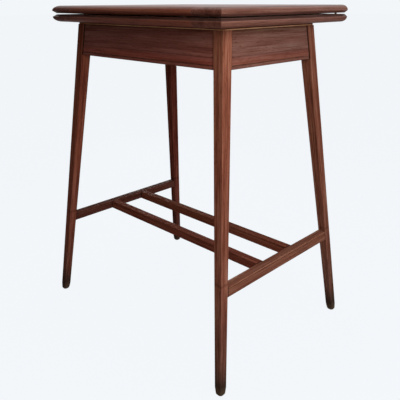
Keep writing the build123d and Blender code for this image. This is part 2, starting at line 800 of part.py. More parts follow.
print(f"pivot of the swivel {pivot_x:.3f} {pivot_y + frame_y:.3f} {bearer_top_z:.3f}")
print(f"hinge pins y {frame_y + top_shift_y + pin_y:.3f}")
print(f"hinge pins z {fold_z - pin_span / 2:.3f} {fold_z + pin_span / 2:.3f}")
print(f"gap between the opened leaves {open_gap:.3f}")
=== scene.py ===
"""Looks of the console game table: stained mahogany, green baize, brass and steel, in a plain pale studio.

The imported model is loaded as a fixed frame. Each sub-assembly has a class that dresses its wooden and metal
pieces, and builds the cloth ones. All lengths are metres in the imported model's own frame.
"""

import logging
import math
from dataclasses import dataclass, replace
from enum import Enum

import bpy
from mathutils import Matrix, Vector


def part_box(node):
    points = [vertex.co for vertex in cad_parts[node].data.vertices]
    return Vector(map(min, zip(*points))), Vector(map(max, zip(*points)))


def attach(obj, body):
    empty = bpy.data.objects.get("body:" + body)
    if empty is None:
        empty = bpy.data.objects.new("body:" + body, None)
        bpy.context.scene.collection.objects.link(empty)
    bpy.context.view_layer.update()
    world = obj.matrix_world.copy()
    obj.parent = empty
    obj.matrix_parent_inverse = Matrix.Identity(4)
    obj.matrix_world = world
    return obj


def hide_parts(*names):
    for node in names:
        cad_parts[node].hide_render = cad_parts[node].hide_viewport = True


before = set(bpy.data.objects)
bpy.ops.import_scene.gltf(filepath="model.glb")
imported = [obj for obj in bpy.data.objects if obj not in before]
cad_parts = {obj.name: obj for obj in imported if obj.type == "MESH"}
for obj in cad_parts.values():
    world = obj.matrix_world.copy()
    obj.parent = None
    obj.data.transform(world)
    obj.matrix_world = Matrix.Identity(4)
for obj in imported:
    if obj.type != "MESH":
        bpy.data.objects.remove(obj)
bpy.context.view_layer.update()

Colour = tuple[float, float, float]
Triple = tuple[float, float, float]
Stops = tuple[tuple[float, Colour], ...]
Span = tuple[float, float]
PaintedLightAndTone = tuple[float, float, Stops]
Cut = tuple[str, Triple]
Node, Tree, Material = bpy.types.Node, bpy.types.NodeTree, bpy.types.Material
Socket = bpy.types.NodeSocket
Source = Socket | float | Triple

ALONG_X: Triple = (1.0, 0.0, 0.0)
ALONG_Y: Triple = (0.0, 1.0, 0.0)
VALUE, VECTOR = "NodeSocketFloat", "NodeSocketVector"
log = logging.getLogger("game_table")


class Body(Enum):
    """The moving bodies that new pieces ride on."""

    FRAME = "frame"
    LOWER_LEAF = "lower_leaf"
    UPPER_LEAF = "upper_leaf"


class Slot(Enum):
    """The names of the record's material slots for the felt and the baize; nothing here uses them."""

    FELT = "felt"
    BAIZE = "baize"


class Facing(Enum):
    """The side of a thin cloth that shows."""

    UP = 1.0
    DOWN = -1.0


# -------- drawing shader nodes


class ShaderBench:
    """A node tree that is being filled, with short calls for the usual nodes.

    Args:
        tree: The node tree of a material, of the world or of a group.
    """

    def __init__(self, tree: Tree) -> None:
        """Keeps the tree."""
        self.tree = tree

    def node(self, kind: str, **settings: object) -> Node:
        """Adds a node.

        Args:
            kind: The node's type name.
            settings: Its own properties.

        Returns:
            The new node.
        """
        made = self.tree.nodes.new(kind)
        for name, value in settings.items():
            setattr(made, name, value)
        return made

    def feed(self, target: Socket, source: Source) -> None:
        """Links a socket, or sets its constant.

        Args:
            target: The input that is fed.
            source: An output socket, or a number, colour or vector.
        """
        if isinstance(source, Socket):
            self.tree.links.new(source, target)
        elif isinstance(source, tuple) and target.type == "RGBA":
            target.default_value = (*source, 1.0)
        else:
            target.default_value = source

    def sum(self, operation: str, first: Source, second: Source = 0.0, third: Source | None = None) -> Socket:
        """Adds a Math node.

        Args:
            operation: ADD, MULTIPLY, SUBTRACT, POWER and so on.
            first: The first value or socket.
            second: The second value or socket.
            third: The third, for MULTIPLY_ADD.

        Returns:
            The result's socket.
        """
        made = self.node("ShaderNodeMath", operation=operation)
        self.feed(made.inputs[0], first)
        self.feed(made.inputs[1], second)
        if third is not None:
            self.feed(made.inputs[2], third)
        return made.outputs[0]

    def vector(self, operation: str, first: Source, second: Source) -> Socket:
        """Adds a Vector Math node.

        Args:
            operation: ADD, MULTIPLY, DOT_PRODUCT and so on.
            first: The first vector or socket.
            second: The second vector or socket.

        Returns:
            The result's socket, a value for a dot product.
        """
        made = self.node("ShaderNodeVectorMath", operation=operation)
        self.feed(made.inputs[0], first)
        self.feed(made.inputs[1], second)
        return made.outputs["Value" if operation == "DOT_PRODUCT" else "Vector"]

    def spread(
        self, value: Source, low: float, high: float, to_low: float = 0.0, to_high: float = 1.0
    ) -> Socket:
        """Stretches a range of a value, held at its ends.

        Args:
            value: The socket that is read.
            low: Where the range starts.
            high: Where it ends.
            to_low: The result at its start.
            to_high: The result at its end.

        Returns:
            The stretched value.
        """
        made = self.node("ShaderNodeMapRange", clamp=True)
        for index, given in enumerate((value, low, high, to_low, to_high)):
            self.feed(made.inputs[index], given)
        return made.outputs[0]

    def noise(self, place: Source, scale: Source, detail: float = 2.0, roughness: float = 0.5) -> Socket:
        """Adds a noise.

        Args:
            place: The vector that it is read at.
            scale: Its scale, in cells to the metre.
            detail: Its octaves.
            roughness: How strong the finer octaves are.

        Returns:
            The noise's value.
        """
        made = self.node("ShaderNodeTexNoise")
        self.feed(made.inputs["Vector"], place)
        self.feed(made.inputs["Scale"], scale)
        self.feed(made.inputs["Detail"], detail)
        self.feed(made.inputs["Roughness"], roughness)
        return made.outputs[0]

    def ramp(self, value: Source, stops: Stops) -> Socket:
        """Adds a colour ramp.

        Args:
            value: The socket that is read.
            stops: Places from 0 to 1 with their colours.

        Returns:
            The colour's socket.
        """
        made = self.node("ShaderNodeValToRGB")
        self.feed(made.inputs[0], value)
        spots = made.color_ramp.elements
        while len(spots) < len(stops):
            spots.new(1.0)
        for spot, (place, colour) in zip(spots, stops):
            spot.position = place
            spot.color = (*colour, 1.0)
        return made.outputs[0]

    def blend(self, share: Source, under: Source, over: Source, how: str = "MIX") -> Socket:
        """Mixes two colours.

        Args:
            share: How much of the second.
            under: The first colour or socket.
            over: The second colour or socket.
            how: The way of mixing.

        Returns:
            The colour's socket.
        """
        made = self.node("ShaderNodeMix", data_type="RGBA", blend_type=how, clamp_factor=True)
        self.feed(made.inputs[0], share)
        self.feed(made.inputs[6], under)
        self.feed(made.inputs[7], over)
        return made.outputs[2]

    def group(self, tree: Tree, **inputs: Source) -> Node:
        """Places a node group.

        Args:
            tree: The group.
            inputs: Its values by input name, with _ for a space.

        Returns:
            The group node.
        """
        made = self.node("ShaderNodeGroup", node_tree=tree)
        for name, value in inputs.items():
            self.feed(made.inputs[name.replace("_", " ")], value)
        return made

    def roughen(self, shader: Node, relief: Socket, strength: float, depth: float) -> None:
        """Gives a shader a bump.

        Args:
            shader: The shader whose normal is bent.
            relief: The height of the surface, from 0 to 1.
            strength: How much of it shows.
            depth: How high 1 is, in metres.
        """
        bump = self.node("ShaderNodeBump")
        self.feed(bump.inputs["Strength"], strength)
        self.feed(bump.inputs["Distance"], depth)
        self.feed(bump.inputs["Height"], relief)
        self.feed(shader.inputs["Normal"], bump.outputs[0])


def new_group(
    name: str, inputs: dict[str, str], outputs: tuple[str, ...]
) -> tuple[ShaderBench, Node, Node]:
    """Starts a shader node group with named sockets.

    Args:
        name: The group's name.
        inputs: Socket types by input name.
        outputs: The names of its value outputs.

    Returns:
        A bench on its tree, its input node and its output node.
    """
    tree = bpy.data.node_groups.new(name, "ShaderNodeTree")
    for label, kind in inputs.items():
        tree.interface.new_socket(name=label, in_out="INPUT", socket_type=kind)
    for label in outputs:
        tree.interface.new_socket(name=label, in_out="OUTPUT", socket_type=VALUE)
    bench = ShaderBench(tree)
    return bench, bench.node("NodeGroupInput"), bench.node("NodeGroupOutput")


# Marks that lie along something are this share as close along it as across it
LINE_RUN, BAND_RUN, PORE_RUN, MOTTLE_RUN = 0.02, 0.05, 0.07, 0.35
FIBRE_RUN, SCRATCH_RUN, BEND_RUN = 0.25, 0.04, 0.4
# Cells to the metre, and pitches as multiples of another pitch
BEND_PITCH, MOTTLE_PITCH, WEAR_PITCH, DUST_PITCH, SHEEN_PITCH = 4.0, 38.0, 45.0, 26.0, 9.0
CLOUD_PITCH, SCRATCH_PITCH = 22.0, 5200.0
STREAKS_PER_BAND, PORES_PER_LINE = 3.3, 3.2
# Where a noise or a turn starts to count as a mark, and where it is all mark
PORE_SPAN: Span = (0.60, 0.70)
SHARP_SPAN: Span = (0.015, 0.16)
UP_SPAN: Span = (0.6, 0.95)
END_SPAN: Span = (0.35, 0.85)
SPOT_SPAN: Span = (0.42, 0.66)
SHINE_SPAN: Span = (0.35, 0.68)
EVEN_SPAN: Span = (0.35, 0.65)
PATCH_SPAN: Span = (0.38, 0.62)
DUST_SPAN: Span = (0.32, 0.68)
WIDE_SPAN: Span = (0.3, 0.7)
# The results that they are stretched to
LEAST_WEAR, LEAST_DUST = 0.25, 0.35
MOTTLE_LIGHT: Span = (0.90, 1.08)
CLOTH_ROUGHNESS: Span = (0.86, 1.0)
LEATHER_ROUGHNESS: Span = (0.5, 0.72)
GREYS: Stops = ((0.0, (0.0, 0.0, 0.0)), (1.0, (1.0, 1.0, 1.0)))
# Radii of rubbed arrises, lighter as wear and as painted highlight, and heights of bumps, in metres
WOOD_ARRIS, METAL_ARRIS = 0.0012, 0.0006
WOOD_RELIEF, NAP_RELIEF, SCRATCH_RELIEF, HIDE_RELIEF = 0.0002, 0.0003, 0.00005, 0.0001
# How far pores sink, where the grain's lines rise by 1
PORE_SINK = -0.7
# The dirt at the feet: how ragged its edge is and where its colours start, in metres; how far up it is full,
# as a share of its height; and how much of the wood it hides there
DIRT_RAGGED, DIRT_START, DIRT_FULL, DIRT_SHARE = 0.03, 0.015, 0.45, 0.85
# How much of the wood's sheen comes from the film and from the grain, and of the cloth's tone from the nap
FILM_SHARE, GRAIN_SHARE = 0.6, 0.4
FIBRE_SHARE, CLOUD_SHARE = 0.7, 0.3


def grain_group() -> Tree:
    """Builds the grain of a board along X: lines, streaks, bands, pores and mottle.

    Returns:
        The group.
    """
    bench, given, out = new_group(
        "wood_grain",
        {"Vector": VECTOR, "Line Pitch": VALUE, "Band Pitch": VALUE, "Waviness": VALUE},
        ("Lines", "Streaks", "Bands", "Pores", "Mottle"),
    )
    place = given.outputs["Vector"]
    bend = bench.noise(bench.vector("MULTIPLY", place, (1.0, BEND_RUN, BEND_RUN)), BEND_PITCH, detail=1.0)
    shift = bench.sum("MULTIPLY", bench.sum("SUBTRACT", bend, 0.5), given.outputs["Waviness"])
    across = bench.node("ShaderNodeCombineXYZ")
    bench.feed(across.inputs[1], shift)
    bench.feed(across.inputs[2], shift)
    bent = bench.vector("ADD", place, across.outputs[0])
    fine, broad, short, patches = (
        bench.vector("MULTIPLY", bent, (run, 1.0, 1.0)) for run in (LINE_RUN, BAND_RUN, PORE_RUN, MOTTLE_RUN)
    )
    line_pitch, band_pitch = given.outputs["Line Pitch"], given.outputs["Band Pitch"]
    bench.feed(out.inputs["Lines"], bench.noise(fine, line_pitch, detail=3.0, roughness=0.62))
    streak_pitch = bench.sum("MULTIPLY", band_pitch, STREAKS_PER_BAND)
    bench.feed(out.inputs["Streaks"], bench.noise(broad, streak_pitch, roughness=0.55))
    bench.feed(out.inputs["Bands"], bench.noise(broad, band_pitch))
    pores = bench.noise(short, bench.sum("MULTIPLY", line_pitch, PORES_PER_LINE), detail=1.0)
    bench.feed(out.inputs["Pores"], bench.spread(pores, *PORE_SPAN))
    bench.feed(out.inputs["Mottle"], bench.noise(patches, MOTTLE_PITCH, detail=3.0, roughness=0.6))
    return bench.tree


def arris_wear_and_highlight_group() -> Tree:
    """Builds a mask of arrises that hands and dusters have rubbed, which on the wood also carries a painted
    highlight.

    Returns:
        The group.
    """
    sockets = {"Vector": VECTOR, "Radius": VALUE, "Wear": VALUE}
    bench, given, out = new_group("edge_wear_and_highlight", sockets, ("Edge",))
    bevel = bench.node("ShaderNodeBevel", samples=4)
    bench.feed(bevel.inputs["Radius"], given.outputs["Radius"])
    flat = bench.node("ShaderNodeNewGeometry").outputs["Normal"]
    turned = bench.sum("SUBTRACT", 1.0, bench.vector("DOT_PRODUCT", bevel.outputs[0], flat))
    sharp = bench.spread(turned, *SHARP_SPAN)
    blotches = bench.noise(given.outputs["Vector"], WEAR_PITCH, detail=3.0, roughness=0.6)
    patchy = bench.spread(blotches, *PATCH_SPAN, LEAST_WEAR, 1.0)
    worn_and_highlit = bench.sum("MULTIPLY", sharp, patchy)
    bench.feed(out.inputs["Edge"], bench.sum("MULTIPLY", worn_and_highlit, given.outputs["Wear"]))
    return bench.tree


def film_group() -> Tree:
    """Builds a film of dust on what faces up, a mask of what faces up, and an uneven sheen.

    Returns:
        The group.
    """
    sockets = {"Vector": VECTOR, "Amount": VALUE}
    bench, given, out = new_group("dust_film", sockets, ("Film", "Facing Up", "Sheen"))
    split = bench.node("ShaderNodeSeparateXYZ")
    bench.feed(split.inputs[0], bench.node("ShaderNodeNewGeometry").outputs["Normal"])
    up = bench.spread(split.outputs[2], *UP_SPAN)
    place = given.outputs["Vector"]
    drifts = bench.noise(place, DUST_PITCH, detail=4.0, roughness=0.65)
    patchy = bench.spread(drifts, *DUST_SPAN, LEAST_DUST, 1.0)
    film = bench.sum("MULTIPLY", up, patchy)
    bench.feed(out.inputs["Film"], bench.sum("MULTIPLY", film, given.outputs["Amount"]))
    bench.feed(out.inputs["Facing Up"], up)
    bench.feed(out.inputs["Sheen"], bench.noise(place, SHEEN_PITCH, detail=3.0, roughness=0.6))
    return bench.tree


def nap_group() -> Tree:
    """Builds the matted fibres of baize and felt.

    Returns:
        The group.
    """
    sockets = {"Vector": VECTOR, "Fibre Pitch": VALUE}
    bench, given, out = new_group("cloth_nap", sockets, ("Fibres", "Clouds"))
    place, pitch = given.outputs["Vector"], given.outputs["Fibre Pitch"]
    felted = bench.noise(place, pitch, detail=4.0, roughness=0.75)
    for run in ((FIBRE_RUN, 1.0, 1.0), (1.0, FIBRE_RUN, 1.0)):
        lying = bench.noise(bench.vector("MULTIPLY", place, run), pitch, roughness=0.6)
        felted = bench.sum("ADD", felted, lying)
    bench.feed(out.inputs["Fibres"], bench.sum("MULTIPLY", felted, 1.0 / 3.0))
    bench.feed(out.inputs["Clouds"], bench.noise(place, CLOUD_PITCH, detail=3.0, roughness=0.6))
    return bench.tree


def tarnish_group() -> Tree:
    """Builds the marks of old metal: spots of tarnish and fine rubbing scratches.

    Returns:
        The group.
    """
    sockets = {"Vector": VECTOR, "Spot Pitch": VALUE}
    bench, given, out = new_group("metal_tarnish", sockets, ("Spots", "Scratches"))
    place = given.outputs["Vector"]
    spots = bench.noise(place, given.outputs["Spot Pitch"], detail=5.0, roughness=0.7)
    bench.feed(out.inputs["Spots"], spots)
    rubbed = bench.vector("MULTIPLY", place, (1.0, SCRATCH_RUN, 1.0))
    bench.feed(out.inputs["Scratches"], bench.noise(rubbed, SCRATCH_PITCH))
    return bench.tree


GRAIN, EDGE_WEAR_AND_HIGHLIGHT, FILM, NAP, TARNISH = grain_group(), arris_wear_and_highlight_group(), film_group(), nap_group(), tarnish_group()


# -------- finishes


def new_material(name: str) -> tuple[ShaderBench, Material, Node]:
    """Starts a material with a Principled shader.

    Args:
        name: The material's name.

    Returns:
        A bench on its tree, the material and its shader node.
    """
    material = bpy.data.materials.new(name)
    material.use_nodes = True
    bench = ShaderBench(material.node_tree)
    bench.tree.nodes.clear()
    shader = bench.node("ShaderNodeBsdfPrincipled")
    bench.feed(bench.node("ShaderNodeOutputMaterial").inputs["Surface"], shader.outputs[0])
    return bench, material, shader


@dataclass(frozen=True)
class Seam:
    """The dark lines of painted shade where boards and splayed legs meet, at both ends of an axis and above a
    height.
    """

    axis: int
    reach: float
    slope: float
    top: float = 0.7008
    width: float = 0.0028
    core: float = 0.4
    low: float = 0.0
    depth: float = 0.75


# The seams of the boards that run along Y
SHORT_END = Seam(axis=1, reach=0.1171, slope=0.1256)
# How far a board's marks at a height follow the bands of its grain, in metres
BROAD_WAVER, SLIP_WAVER, FINE_WAVER = 0.006, 0.001, 0.0008


@dataclass(frozen=True)
class Board:
    """How one board was cut: the way its grain runs, its place in the log, and the marks that it has, painted
    light and shade among them.
    """

    name: str
    grain: Triple
    place: Triple
    # The board's own tone together with painted light and shade
    tint: Colour = (1.0, 1.0, 1.0)
    # Painted light and shade by height, with some bands of tone
    painted_light_and_tone: PaintedLightAndTone | None = None
    waver: float = BROAD_WAVER
    foot_dirt: float = 0.0
    seams: tuple[Seam, ...] = ()


@dataclass(frozen=True)
class Timber:
    """Where the boards of one log lie in it: the first one, and the step to each next one."""

    first: Triple
    step: Triple

    def place(self, number: int) -> Triple:
        """The place of a board, counted from 0."""
        return tuple(start + number * stride for start, stride in zip(self.first, self.step))


@dataclass(frozen=True)
class WoodFinish:
    """A wood with its stain and polish."""

    name: str
    tones: Stops
    pore: Colour
    # The lighter colour of the arrises: wear together with painted highlight
    worn_and_highlit: Colour
    # The colour of painted shade where boards meet
    joint_shade: Colour = (0.020, 0.009, 0.006)
    end_grain: Colour = (0.68, 0.56, 0.55)
    dirt: Stops = ((0.0, (0.100, 0.080, 0.048)), (1.0, (0.040, 0.026, 0.018)))
    line_pitch: float = 420.0
    band_pitch: float = 60.0
    waviness: float = 0.006
    line_share: float = 0.45
    streak_share: float = 0.27
    contrast: Span = (0.37, 0.63)
    pore_depth: float = 0.6
    roughness: Span = (0.5, 0.68)
    specular: float = 0.005
    polish: float = 0.0
    polish_roughness: float = 0.3
    wear: float = 0.5
    dust: float = 0.02
    dust_colour: Colour = (0.42, 0.38, 0.34)
    bump: float = 0.35

    def on(self, board: Board) -> Material:
        """Makes this finish for one board.

        Args:
            board: How the board was cut.

        Returns:
            Its material.
        """
        bench, material, shader = new_material(f"{self.name}_{board.name}")
        where = bench.node("ShaderNodeTexCoord")
        place = where.outputs["Object"]
        turned = bench.node("ShaderNodeMapping")
        along = Vector(board.grain).normalized()
        turned.inputs["Rotation"].default_value = along.rotation_difference(Vector(ALONG_X)).to_euler("XYZ")
        turned.inputs["Location"].default_value = board.place
        bench.feed(turned.inputs["Vector"], place)
        grain = bench.group(
            GRAIN,
            Vector=turned.outputs[0],
            Line_Pitch=self.line_pitch,
            Band_Pitch=self.band_pitch,
            Waviness=self.waviness,
        )
        lines, bands = grain.outputs["Lines"], grain.outputs["Bands"]
        tone = bench.sum("MULTIPLY", bands, 1.0 - self.line_share - self.streak_share)
        tone = bench.sum("MULTIPLY_ADD", grain.outputs["Streaks"], self.streak_share, tone)
        tone = bench.sum("MULTIPLY_ADD", lines, self.line_share, tone)
        colour = bench.ramp(bench.spread(tone, *self.contrast), self.tones)
        mottle = bench.spread(grain.outputs["Mottle"], *EVEN_SPAN, *MOTTLE_LIGHT)
        colour = bench.blend(1.0, colour, bench.ramp(mottle, GREYS), "MULTIPLY")
        # The board's own tone, with painted light and shade multiplied in
        colour = bench.blend(1.0, colour, board.tint, "MULTIPLY")
        facing = bench.vector("DOT_PRODUCT", where.outputs["Normal"], tuple(along))
        end = bench.spread(bench.sum("ABSOLUTE", facing), *END_SPAN)
        colour = bench.blend(end, colour, self.end_grain, "MULTIPLY")
        axes = bench.node("ShaderNodeSeparateXYZ")
        bench.feed(axes.inputs[0], place)
        # Painted light and shade by height, with some bands of tone, wavering with the grain's bands
        if board.painted_light_and_tone:
            low, high, stops = board.painted_light_and_tone
            waver = bench.sum("MULTIPLY_ADD", bench.sum("SUBTRACT", bands, 0.5), board.waver, axes.outputs[2])
            level = bench.ramp(bench.spread(waver, low, high), stops)
            colour = bench.blend(1.0, colour, level, "MULTIPLY")
        pores = bench.sum("MULTIPLY", grain.outputs["Pores"], self.pore_depth)
        colour = bench.blend(pores, colour, self.pore)
        # Rubbed arrises, lighter: real wear together with a painted highlight along each arris
        edge = bench.group(EDGE_WEAR_AND_HIGHLIGHT, Vector=place, Radius=WOOD_ARRIS, Wear=self.wear).outputs["Edge"]
        colour = bench.blend(edge, colour, self.worn_and_highlit)
        film = bench.group(FILM, Vector=place, Amount=self.dust)
        colour = bench.blend(film.outputs["Film"], colour, self.dust_colour)
        height = axes.outputs[2]
        # Painted shade in a strip along each seam, where one board or leg steps back from its neighbour
        for seam in board.seams:
            line = bench.sum("MULTIPLY_ADD", bench.sum("SUBTRACT", seam.top, height), seam.slope, seam.reach)
            out = bench.sum("ABSOLUTE", axes.outputs[seam.axis])
            away = bench.sum("ABSOLUTE", bench.sum("SUBTRACT", line, out))
            near = bench.spread(away, seam.core * seam.width, seam.width, seam.depth, 0.0)
            above = bench.sum("GREATER_THAN", height, seam.low)
            colour = bench.blend(bench.sum("MULTIPLY", near, above), colour, self.joint_shade)
        if board.foot_dirt:
            ragged = bench.sum("MULTIPLY_ADD", grain.outputs["Mottle"], DIRT_RAGGED, height)
            stain = bench.ramp(bench.spread(ragged, DIRT_START, board.foot_dirt), self.dirt)
            share = bench.spread(ragged, board.foot_dirt, DIRT_FULL * board.foot_dirt, 0.0, DIRT_SHARE)
            colour = bench.blend(share, colour, stain)
        bench.feed(shader.inputs["Base Color"], colour)
        fine = bench.sum("MULTIPLY", lines, GRAIN_SHARE)
        gloss = bench.sum("MULTIPLY_ADD", film.outputs["Sheen"], FILM_SHARE, fine)
        bench.feed(shader.inputs["Roughness"], bench.spread(gloss, *EVEN_SPAN, *self.roughness))
        shader.inputs["Specular IOR Level"].default_value = self.specular
        if self.polish:
            polished = bench.sum("MULTIPLY", film.outputs["Facing Up"], self.polish)
            bench.feed(shader.inputs["Coat Weight"], polished)
            shader.inputs["Coat Roughness"].default_value = self.polish_roughness
        raised = bench.sum("MULTIPLY_ADD", grain.outputs["Pores"], PORE_SINK, lines)
        bench.roughen(shader, raised, self.bump, WOOD_RELIEF)
        return material


@dataclass(frozen=True)
class ClothFinish:
    """A felted woollen cloth."""

    name: str
    shade: Colour
    light: Colour
    fibre_pitch: float = 1500.0
    sheen: float = 0.35
    sheen_roughness: float = 0.5
    specular: float = 0.1
    bump: float = 0.7

    def make(self) -> Material:
        """Makes the cloth's material.

        Returns:
            The material.
        """
        bench, material, shader = new_material(self.name)
        place = bench.node("ShaderNodeTexCoord").outputs["Object"]
        nap = bench.group(NAP, Vector=place, Fibre_Pitch=self.fibre_pitch)
        fibres, clouds = nap.outputs["Fibres"], nap.outputs["Clouds"]
        tone = bench.sum("MULTIPLY_ADD", fibres, FIBRE_SHARE, bench.sum("MULTIPLY", clouds, CLOUD_SHARE))
        colour = bench.ramp(bench.spread(tone, *PATCH_SPAN), ((0.0, self.shade), (1.0, self.light)))
        bench.feed(shader.inputs["Base Color"], colour)
        bench.feed(shader.inputs["Roughness"], bench.spread(clouds, *WIDE_SPAN, *CLOTH_ROUGHNESS))
        shader.inputs["Specular IOR Level"].default_value = self.specular
        shader.inputs["Sheen Weight"].default_value = self.sheen
        shader.inputs["Sheen Roughness"].default_value = self.sheen_roughness
        bench.roughen(shader, fibres, self.bump, NAP_RELIEF)
        return material


@dataclass(frozen=True)
class MetalFinish:
    """A metal with its age on it."""

    name: str
    bright: Colour
    dull: Colour
    roughness: Span
    spot_pitch: float = 260.0
    wear: float = 0.8
    bump: float = 0.25

    def make(self) -> Material:
        """Makes the metal's material.

        Returns:
            The material.
        """
        bench, material, shader = new_material(self.name)
        place = bench.node("ShaderNodeTexCoord").outputs["Object"]
        marks = bench.group(TARNISH, Vector=place, Spot_Pitch=self.spot_pitch)
        spots = bench.spread(marks.outputs["Spots"], *SPOT_SPAN)
        edge = bench.group(EDGE_WEAR_AND_HIGHLIGHT, Vector=place, Radius=METAL_ARRIS, Wear=self.wear).outputs["Edge"]
        aged = bench.blend(spots, self.bright, self.dull)
        bench.feed(shader.inputs["Base Color"], bench.blend(edge, aged, self.bright))
        shader.inputs["Metallic"].default_value = 1.0
        shine = bench.spread(marks.outputs["Spots"], *SHINE_SPAN, *self.roughness)
        bench.feed(shader.inputs["Roughness"], shine)
        bench.roughen(shader, marks.outputs["Scratches"], self.bump, SCRATCH_RELIEF)
        return material


@dataclass(frozen=True)
class LeatherFinish:
    """A hard sole leather, punched into discs."""

    name: str
    hide: Colour
    crease: Colour
    cell_pitch: float = 1400.0
    cell_edge: float = 0.14
    stain_pitch: float = 180.0
    specular: float = 0.3
    bump: float = 0.5

    def make(self) -> Material:
        """Makes the leather's material.

        Returns:
            The material.
        """
        bench, material, shader = new_material(self.name)
        place = bench.node("ShaderNodeTexCoord").outputs["Object"]
        cells = bench.node("ShaderNodeTexVoronoi", feature="DISTANCE_TO_EDGE")
        bench.feed(cells.inputs["Vector"], place)
        cells.inputs["Scale"].default_value = self.cell_pitch
        grain = bench.spread(cells.outputs["Distance"], 0.0, self.cell_edge)
        stain = bench.noise(place, self.stain_pitch, detail=3.0, roughness=0.6)
        tint = bench.blend(bench.spread(stain, *WIDE_SPAN), self.hide, self.crease)
        bench.feed(shader.inputs["Base Color"], bench.blend(grain, self.crease, tint))
        bench.feed(shader.inputs["Roughness"], bench.spread(stain, *WIDE_SPAN, *LEATHER_ROUGHNESS))
        shader.inputs["Specular IOR Level"].default_value = self.specular
        bench.roughen(shader, grain, self.bump, HIDE_RELIEF)
        return material


MAHOGANY = WoodFinish(
    name="frame_mahogany",
    tones=(
        (0.0, (0.105, 0.029, 0.015)),
        (0.32, (0.180, 0.053, 0.029)),
        (0.62, (0.240, 0.080, 0.046)),
        (1.0, (0.305, 0.124, 0.073)),
    ),
    pore=(0.065, 0.019, 0.010),
    worn_and_highlit=(0.380, 0.180, 0.110),
    dirt=(
        (0.0, (0.095, 0.072, 0.042)),
        (0.22, (0.080, 0.055, 0.034)),
        (0.36, (0.030, 0.022, 0.017)),
        (1.0, (0.040, 0.024, 0.017)),
    ),
)
LEG_MAHOGANY = replace(MAHOGANY, name="leg_mahogany", band_pitch=95.0, contrast=(0.40, 0.60))
APRON_MAHOGANY = replace(
    MAHOGANY, name="apron_mahogany", line_share=0.5, streak_share=0.3, contrast=(0.33, 0.67)
)
TOP_MAHOGANY = WoodFinish(
    name="top_mahogany",
    tones=(
        (0.0, (0.095, 0.028, 0.017)),
        (0.35, (0.170, 0.052, 0.033)),
        (0.65, (0.225, 0.076, 0.050)),
        (1.0, (0.300, 0.118, 0.080)),
    ),
    pore=(0.055, 0.020, 0.013),
    worn_and_highlit=(0.330, 0.170, 0.120),
    band_pitch=34.0,
    roughness=(0.30, 0.46),
    specular=0.015,
    polish=0.42,
    dust=0.12,
)
SLIP_WOOD = WoodFinish(
    name="slip_wood",
    tones=((0.0, (0.240, 0.120, 0.070)), (0.5, (0.380, 0.210, 0.130)), (1.0, (0.520, 0.320, 0.215))),
    pore=(0.090, 0.045, 0.025),
    worn_and_highlit=(0.420, 0.280, 0.190),
    roughness=(0.7, 0.85),
    wear=0.3,
)
RAW_WOOD = WoodFinish(
    name="raw_wood",
    tones=((0.0, (0.40, 0.28, 0.17)), (0.5, (0.54, 0.41, 0.27)), (1.0, (0.64, 0.51, 0.36))),
    pore=(0.30, 0.20, 0.12),
    worn_and_highlit=(0.62, 0.52, 0.40),
    line_pitch=260.0,
    band_pitch=90.0,
    waviness=0.012,
    roughness=(0.72, 0.9),
    wear=0.2,
    dust=0.2,
)
BAIZE = ClothFinish(name="green_baize", shade=(0.026, 0.130, 0.062), light=(0.085, 0.270, 0.150))
FELT = ClothFinish(
    name="felt_ribbon", shade=(0.035, 0.045, 0.028), light=(0.085, 0.095, 0.060), fibre_pitch=1900.0
)
BRASS = MetalFinish(
    name="aged_brass", bright=(0.38, 0.27, 0.125), dull=(0.135, 0.088, 0.042), roughness=(0.34, 0.56)
)
# Darkened brass for the hinge links: painted shade, for the shade of the gap between the leaves
LINK_BRASS_PAINTED_SHADE = replace(BRASS, name="link_brass_painted_shade", bright=(0.13, 0.09, 0.045), dull=(0.045, 0.030, 0.020))
STEEL = MetalFinish(
    name="dull_steel", bright=(0.50, 0.50, 0.51), dull=(0.24, 0.23, 0.22), roughness=(0.34, 0.58)
)
# Each board's own tone together with painted light and shade: darker on the pieces to the left and back, where
# the light falls off, and cooler on pieces whose sheen is painted in
BOARD_TONES_AND_PAINTED_LIGHT: dict[str, Colour] = {
    "leg_front_right": (1.18, 1.20, 1.22),
    "leg_back_right": (1.01, 1.06, 1.09),
    "leg_front_left": (1.02, 0.87, 0.86),
    "leg_back_left": (0.78, 0.56, 0.60),
    "apron_front": (1.19, 1.27, 1.74),
    "apron_back": (1.00, 1.00, 1.20),
    "apron_left": (0.90, 1.00, 1.20),
    "apron_right": (0.89, 1.18, 1.54),
    "stretcher_left": (0.58, 0.59, 0.72),
    "stretcher_right": (1.18, 1.40, 1.50),
    "long_rail_front": (1.06, 0.90, 0.95),
    "long_rail_back": (1.00, 0.88, 0.86),
    "lower_leaf_board": (1.06, 1.03, 1.00),
    "lower_leaf_clamp_left": (0.90, 0.88, 0.84),
    "lower_leaf_clamp_right": (1.00, 1.30, 1.40),
    "upper_leaf_board": (0.82, 0.72, 0.63),
    "upper_leaf_clamp_left": (0.76, 0.80, 0.80),
    "upper_leaf_clamp_right": (0.90, 1.15, 1.25),
}
# Painted light and shade by height, with some bands of tone, from a piece's foot at 0 to its top at 1
# Painted light on the legs: lighter and cooler from the foot to above the middle, where the lamps fall off
# downward, with a thin dark line a third of the way up
LEG_PAINTED_LIGHT: Stops = (
    (0.0, (0.84, 1.10, 1.30)),
    (0.16, (0.94, 1.12, 1.28)),
    (0.28, (1.12, 1.22, 1.30)),
    (0.334, (1.12, 1.20, 1.27)),
    (0.338, (0.45, 0.42, 0.44)),
    (0.342, (1.12, 1.20, 1.27)),
    (0.65, (1.10, 1.10, 1.12)),
    (1.0, (0.98, 1.00, 1.00)),
)
